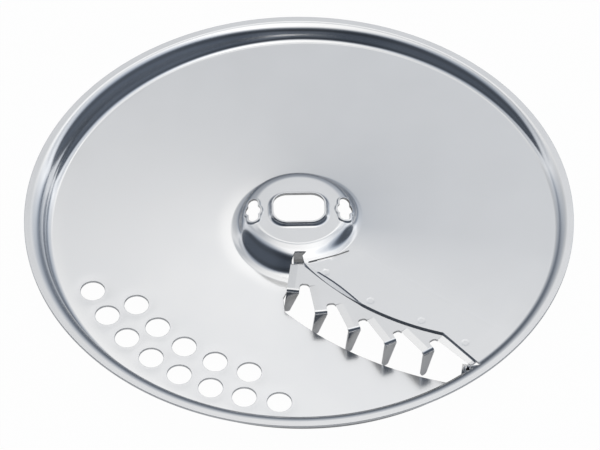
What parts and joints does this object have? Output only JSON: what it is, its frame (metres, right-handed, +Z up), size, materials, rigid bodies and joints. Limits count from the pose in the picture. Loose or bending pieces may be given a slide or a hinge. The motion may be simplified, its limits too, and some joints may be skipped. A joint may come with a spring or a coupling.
{
  "type": "food processor disc",
  "caption": "Round pressed steel cutting disc for a food processor: the plate winds down round a slotted hub to a gap under a stepped blade whose bent dividers part the food into chips.",
  "frame": {"origin": "on the disc's axis, at the level of its lowest point", "axes": "+Z up along the axis towards the hub's top, +X along the drive slot, the blade on the -Y side"},
  "size_m": [0.175, 0.175, 0.0158],
  "materials": {
    "plate_steel": "polished",
    "blade_steel": "polished, ground edges"
  },
  "bodies": {
    "root": {"disc_plate": "plate_steel", "chip_blade": "blade_steel"}
  },
  "joints": []
}
